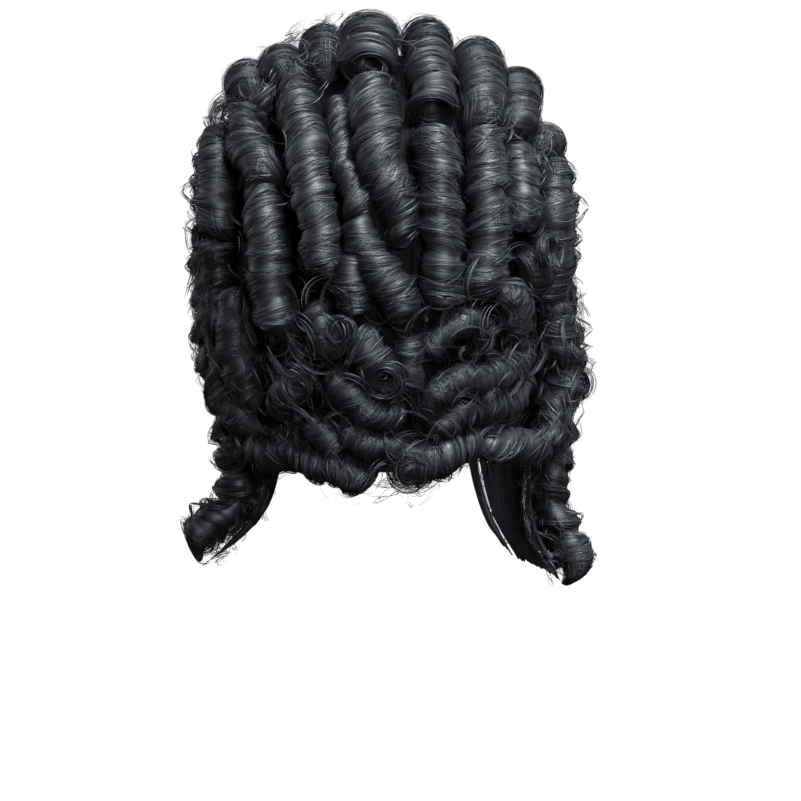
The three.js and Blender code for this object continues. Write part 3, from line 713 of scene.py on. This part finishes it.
for number, (name, row) in enumerate(lappets.items()):
    chance = np.random.default_rng(120 + number)
    columns, rows = row.get("columns", 52), 60
    uu, vv = np.meshgrid(np.linspace(0, 1, columns), np.linspace(0, 1, rows))
    ragged = 1 - 0.012 * chance.uniform(0, 1, columns) ** 1.5
    wave = (0.00045 * np.sin(uu * 90 + 2.5 * np.sin(vv * 5))
            + 0.0003 * np.sin(uu * 210 + 4 * np.sin(vv * 4 + 1)))
    thin = np.clip((1 - vv) / 0.05, 0.3, 1) * np.clip(np.minimum(uu, 1 - uu) / 0.05, 0.12, 1)
    sides = [lappet_point(row, uu, vv * ragged,
                          middle + sign * (half_wall - lappet_edge) * thin + wave * thin)
             for sign in (-1, 1)]
    lay = np.stack([uu * 0.07, vv * 0.2, np.full(uu.shape, number + 0.5)], -1)
    grid, n = grid_faces(rows, columns), rows * columns
    edge = np.concatenate([np.arange(columns), np.arange(1, rows) * columns + columns - 1,
                           n - columns + np.arange(columns - 2, -1, -1),
                           np.arange(rows - 2, 0, -1) * columns])
    after = np.roll(edge, -1)
    faces = [grid, (grid + n)[:, ::-1], np.stack([edge, after, after + n, edge + n], -1)]
    parts = [(np.stack(sides), inside_out(faces) if row["side"] > 0 else faces,
              np.stack([lay, lay]), 0)]

    # Single fibres, most of them on the face toward the neck
    count, steps, fibre_thick = row.get("hairs", 340), 16, 0.00036
    across = chance.uniform(0.04, 0.96, count)[:, None]
    begin = chance.uniform(0.0, 0.75, count)[:, None]
    ending = np.minimum(begin + chance.uniform(0.3, 0.7, count)[:, None],
                        chance.uniform(0.93, 1.02, count)[:, None])
    w = np.linspace(0, 1, steps)[None, :]
    down = begin + (ending - begin) * w
    curve, start = chance.uniform(2, 6, count)[:, None], chance.uniform(0, 6, count)[:, None]
    place = np.clip(across + 0.012 * np.sin(w * curve + start), 0, 1)
    face = np.where(chance.uniform(0, 1, count) < 0.6, -1, 1)[:, None]
    lift = middle + face * (half_wall + lappet_edge) + 0 * w
    line = lappet_point(row, place, down, lift)
    beside = unit(lappet_point(row, place + 0.004, down, lift) - line)
    half = (fibre_thick / 2 * (1 - 0.85 * np.abs(2 * w - 1) ** 4))[..., None]
    tone = np.broadcast_to(chance.uniform(0, 3, (count, 1)), down.shape)
    lay = np.stack([tone, down * 0.2, np.zeros(down.shape)], -1)
    parts.append((np.stack([line - beside * half, line + beside * half], 2),
                  [ribbon_faces(count, steps)], np.repeat(lay[:, :, None], 2, 2), 0))
    sew(name + "_hair", parts, [lappet_finish_with_painted_light], "straight_hair", name)

# The ringlets: four corkscrew curls on each lappet's outer face, of the same fibre as the
# rolls. Each is wound on a thin rod, stitched in beside the ear and left to hang. The right
# ones hang lower than the left.
for side, mark in ((-1, "left"), (1, "right")):
    for number, forward in enumerate((0.08, 0.36, 0.64, 0.92), 1):
        around = side * (lappet_back + (lappet_front - lappet_back) * forward)
        start = 0.18 + 0.03 * forward
        end = 0.952 - 0.08 * forward if side < 0 else 0.988 - 0.06 * forward
        girth = [1, 1.18, 1.25, 1.3, 1.2] if side < 0 else [0.98, 1.1, 1.15, 1.12, 1.15]
        dress(f"ringlet_{mark}_{number}",
              Lock(beside_head, [(around, start + (end - start) * i / 3) for i in range(4)], girth,
                   ringlet_width, seed=(140 if side < 0 else 150) + number, groove=0.38, loose=0.5,
                   handed=side, base=seat + lappet_wall, pitch=0.018, coil=(0.0012, 0.054)),
              density=3600, springs=90, reach=0.7)

# The short hair of the rows: black fibre, cut short and stitched in along the weft. It lies flat
# on the cap's outside, so that no net shows between the rolls, and thins out at the rim.
# Its finish is near black and almost without gloss, far darker than the rolls' fibre: painted
# shade, for the deep shade between the rolls.
row_painted_shade_finish = hair_finish("hair_of_rows_painted_shade", (0.0001, 0.0001, 0.0002), (0.0006, 0.0006, 0.0008),
                         rough=0.6, relief=0.0006, gloss=(0.0, 0.06))
meridians, rows = 128, 48
nap, foot, tuck = 0.0022, 0.0006, 0.0003  # how thick it lies, and how its edge meets the cap
around = np.linspace(-180, 180, meridians, endpoint=False)
aa, dd = np.broadcast_arrays(around[None, :], np.linspace(0, 1, rows)[:, None])
ripple = (0.0007 * np.sin(aa * 1.9 + 2 * np.sin(dd * 9))
          + 0.0005 * np.sin(aa * 4.7 + 3 * np.sin(dd * 7 + 1)))
down = np.maximum(dd, top_share)
cover = cap_point(aa, down, cap_wall + nap * np.clip((1 - dd) / 0.03, 0, 1) + foot
                  + ripple * (dd < 0.99))
under = cap_point(aa, down[::-1], cap_wall - tuck)
tips = np.array([[0, 0, cap_wall + nap + foot], [0, 0, cap_wall - tuck]])
lay = np.stack([np.radians(aa) * 0.09, dd * 0.2, np.full(aa.shape, 0.3)], -1)
sew("row_hair", [(np.concatenate([cover.reshape(-1, 3), under.reshape(-1, 3), tips]),
                  tube_faces(2 * rows, meridians),
                  np.concatenate([lay.reshape(-1, 3), lay[::-1].reshape(-1, 3), tips]), 0)],
    [row_painted_shade_finish], "straight_hair")

# Loose curls: wisps of the rolls' own fibre that have sprung out of them. Rings, hooks and small
# swirls lie over the nape and stand off the sides, and single hairs escape at the crown.
chance = np.random.default_rng(7)


def ringed(hairs, *places, thick=0.00028):
    """Wisps that curl in rings. A place is its point, its normal, radius, start, sweep and lean,
    the turn of its ring about the normal, and how far it drifts along its axis."""
    points, normals, radius, start, sweep, lean, spin, drift = (
        np.repeat(x, hairs, 0) for x in places)
    count, steps = len(points), 12
    side = unit(np.cross(normals, [0.0, 0.0, 1.0]), 1e-9)
    upward = np.cross(side, normals)
    first = side * np.cos(spin)[:, None] + upward * np.sin(spin)[:, None]
    second = np.cross(normals, first)
    third = np.cross(first, second)
    second, third = (second * np.cos(lean)[:, None] + third * np.sin(lean)[:, None],
                     third * np.cos(lean)[:, None] - second * np.sin(lean)[:, None])
    u = np.linspace(0, 1, steps)[None, :]
    start = start + chance.normal(0, 0.18, count)
    turn = start[:, None] + (sweep * chance.uniform(0.8, 1.1, count))[:, None] * u
    radius = radius + chance.normal(0, 0.0006, count)
    reach = radius[:, None] * (1 - 0.28 * u * chance.uniform(0.4, 1.4, count)[:, None])
    along = chance.normal(0, 0.0009, count)[:, None] + drift[:, None] * u
    line = (points[:, None] + first[:, None] * (reach * np.cos(turn))[..., None]
            + second[:, None] * (reach * np.sin(turn))[..., None]
            + third[:, None] * along[..., None])
    tilt = chance.normal(0, 0.7, count)
    thick = thick * chance.uniform(0.6, 1.2, count)
    tone = tones(chance, count // hairs, hairs)
    lay = np.stack([np.broadcast_to(tone[:, None], turn.shape), turn * 0.01,
                    np.zeros(turn.shape)], -1)
    return fibres(line, unit(line - points[:, None], 1e-12), tilt, thick, 0.85,
                  np.repeat(lay[:, :, None], 2, 2))


def swirl(place, a, b, lift, radius, axis=None):
    """One disc of hair that winds in toward its middle."""
    wisps, hairs = 28, 7
    point, normal = place(np.array([float(a)]), np.array([float(b)]), np.array([lift]))
    if axis:
        normal = np.array([axis]) / np.linalg.norm(axis)
    share = chance.uniform(0.18, 1.1, wisps) ** 0.8
    points = (point - normal * ((1 - share) * radius * 0.45)[:, None]
              + chance.normal(0, radius * 0.1, (wisps, 3)))
    return ringed(hairs, points, np.repeat(normal, wisps, 0), radius * share,
                  chance.uniform(0, tau, wisps), chance.uniform(2.4, 5.2, wisps),
                  chance.normal(0, 0.35, wisps), chance.uniform(0, tau, wisps),
                  chance.uniform(-0.002, 0.002, wisps), thick=0.0004)


def scatter(place, count, first, second, lift, radius, hairs, sweep=(1.6, 5.0), lean=0.7):
    """Rings in chance places over a stretch of the head."""
    a, b = chance.uniform(*first, count), chance.uniform(*second, count)
    points, normals = place(a, b, chance.uniform(*lift, count))
    return ringed(hairs, points, normals, chance.uniform(*radius, count),
                  chance.uniform(0, tau, count), chance.uniform(*sweep, count),
                  chance.normal(0, lean, count), chance.uniform(0, tau, count),
                  chance.uniform(-0.006, 0.006, count))


# A swirl's row is where it is in its place's two measures, its lift and radius, and the way it
# faces. A scatter's row is its wisps, the spans of those measures, of lift and of radius, the
# hairs to a wisp, the span of their sweep, and their lean.
loose_hair = {
    "nape_swirls": (swirl, over_head, [
        (0.02, -25, 0.018, 0.0105), (0.12, -42.5, 0.024, 0.0125), (0.56, -36, 0.017, 0.0075),
        (0.84, -7, 0.024, 0.013), (-0.2, -17, 0.02, 0.008), (-0.42, -30, 0.017, 0.008)]),
    "crown_swirls": (swirl, over_head, [
        (-0.79, 60, 0.024, 0.012, (0.3, 1, 0.3)), (-0.6, 50, 0.023, 0.008),
        (0.83, 34, 0.022, 0.009)]),
    "side_swirls": (swirl, beside_head, [
        (86, 0.585, 0.021, 0.010, (-0.5, 1, 0)), (82, 0.67, 0.016, 0.009, (-0.3, 1, 0)),
        (99, 0.76, 0.016, 0.009, (-0.3, 1, 0)), (99, 0.84, 0.016, 0.008, (-0.3, 1, 0)),
        (98.5, 0.945, 0.013, 0.0105, (-0.3, 1, 0.1)), (-99, 0.71, 0.018, 0.009, (0.3, 1, 0)),
        (-99, 0.78, 0.018, 0.0085, (0.3, 1, 0)), (-100, 0.86, 0.014, 0.009, (0.3, 1, 0)),
        (-98, 0.925, 0.012, 0.0085, (0.3, 1, 0)), (-98, 0.885, 0.011, 0.008, (0.3, 1, 0)),
        (-90, 0.45, 0.018, 0.008, (0.5, 1, 0)), (-90, 0.6, 0.016, 0.009, (0.4, 1, 0))]),
    "nape_waves": (scatter, over_head, [
        (230, (-0.82, 0.86), (-45, -10), (0.013, 0.020), (0.010, 0.020), 8, (0.8, 1.9), 0.15)]),
    "side_waves": (scatter, beside_head, [
        (70, (-92, -72), (0.25, 0.7), (0.016, 0.023), (0.008, 0.018), 8, (0.8, 2.4), 0.15),
        (70, (72, 92), (0.3, 0.7), (0.016, 0.023), (0.008, 0.018), 8, (0.8, 2.4), 0.15),
        (50, (94, 99), (0.68, 0.95), (0.0, 0.016), (0.005, 0.008), 7, (1.5, 4.0), 0.5),
        (50, (-99, -94), (0.68, 0.93), (0.0, 0.018), (0.005, 0.008), 7, (1.5, 4.0), 0.5),
        (60, (91.5, 95), (0.66, 0.97), (-0.002, 0.007), (0.004, 0.007), 6, (1.5, 4.0), 0.6),
        (60, (-95, -91.5), (0.66, 0.95), (-0.002, 0.007), (0.004, 0.007), 6, (1.5, 4.0), 0.6)]),
    "roll_strays": (scatter, over_head, [
        (90, (-0.8, 0.85), (-5, 75), (0.017, 0.027), (0.006, 0.015), 3, (0.8, 2.4), 0.5)]),
    "loose_nape_curls": (scatter, over_head, [
        (220, (-0.85, 0.88), (-47, -12), (0.006, 0.019), (0.004, 0.010), 6)]),
    "nape_wisps": (scatter, over_head, [
        (60, (-0.7, 0.8), (-54, -48), (0.002, 0.014), (0.004, 0.010), 2)]),
    "loose_side_curls": (scatter, beside_head, [
        (90, (-92, -72), (0.28, 0.72), (0.006, 0.022), (0.003, 0.009), 6),
        (90, (72, 92), (0.38, 0.72), (0.006, 0.022), (0.003, 0.009), 6)]),
    "loose_crown_curls": (scatter, over_head, [
        (110, (-0.85, -0.2), (52, 92), (0.014, 0.029), (0.004, 0.009), 6),
        (40, (-0.1, 0.8), (50, 95), (0.020, 0.024), (0.004, 0.009), 2, (0.8, 2.5), 0.9),
        (60, (0.5, 0.9), (0, 70), (0.014, 0.026), (0.004, 0.009), 5)]),
}
for name, (form, place, rows) in loose_hair.items():
    sew(name, [form(place, *row) for row in rows], [curled_finish], "curled_hair")

# The studio: a pale floor in a pale surround. A soft light stands above the camera and a weaker
# one just behind it, with low ones overhead, in front of the wig and at its sides.
paper_white, floor_reach, floor_level = (0.97, 0.97, 0.98, 1), 6, -0.46
cool_white, wig_middle = (0.9, 0.96, 1.04), (0, 0, -0.12)
shown_white, spill = 1.05, 0.015  # the surround's strength, as seen and as it lights the wig
mesh = bpy.data.meshes.new("studio_floor")
mesh.from_pydata([(x * floor_reach, y * floor_reach, floor_level)
                  for x, y in ((-1, -1), (1, -1), (1, 1), (-1, 1))], [], [(0, 1, 2, 3)])
floor = bpy.data.objects.new("studio_floor", mesh)
bpy.context.scene.collection.objects.link(floor)
paper, _, surface = finish_of("studio_paper")
lay_on(surface, {"Base Color": (0.02, 0.02, 0.02, 1), "Roughness": 1.0, "Specular IOR Level": 0.0,
                 "Emission Color": paper_white, "Emission Strength": 1.1}, {})
mesh.materials.append(paper)
floor.visible_glossy = floor.visible_diffuse = False


def soft_light(name, place, width, height, power):
    """A lamp with a soft box, turned to the middle of the wig."""
    light = bpy.data.lights.new(name, "AREA")
    light.shape, light.size, light.size_y, light.energy = "RECTANGLE", width, height, power
    light.color = cool_white
    lamp = bpy.data.objects.new(name, light)
    lamp.location = place
    aim = Vector(wig_middle) - Vector(place)
    lamp.rotation_euler = aim.to_track_quat("-Z", "Y").to_euler()
    bpy.context.scene.collection.objects.link(lamp)


soft_light("key_light", (-0.45, 1.1, 1.42), 0.5, 0.5, 142)
soft_light("fill_light", (-0.38, 2.15, 0.15), 0.4, 0.4, 48)
soft_light("top_light", (0, -0.35, 1.55), 0.8, 0.8, 17)
soft_light("front_light", (0.3, -1.7, -0.15), 0.6, 0.6, 55)
soft_light("left_light", (1.6, -0.5, 0.3), 0.4, 0.8, 9)
soft_light("right_light", (-1.6, -0.5, 0.3), 0.4, 0.8, 9)

world = bpy.data.worlds.new("studio")
world.use_nodes = True
surround = Thread(world.node_tree)
seen = surround.node("ShaderNodeLightPath", {}, {}, "Is Camera Ray")
backdrop = world.node_tree.nodes["Background"]
lay_on(backdrop, {"Color": paper_white}, {"Strength": seen * shown_white + spill})
bpy.context.scene.world = world
bpy.context.scene.view_settings.view_transform = "Standard"

# The camera stands behind the wig, level with its nape, and looks a little down. The wig then
# fills the frame as it does in the photo.
look_down = 2.8
lens = bpy.data.cameras.new("photo_view")
lens.sensor_width, lens.lens = 36, 122.6
camera = bpy.data.objects.new("photo_view", lens)
camera.location = (-0.0096, 1.5, -0.110)
camera.rotation_euler = (math.radians(90 - look_down), 0, pi)
bpy.context.scene.collection.objects.link(camera)
bpy.context.scene.camera = camera
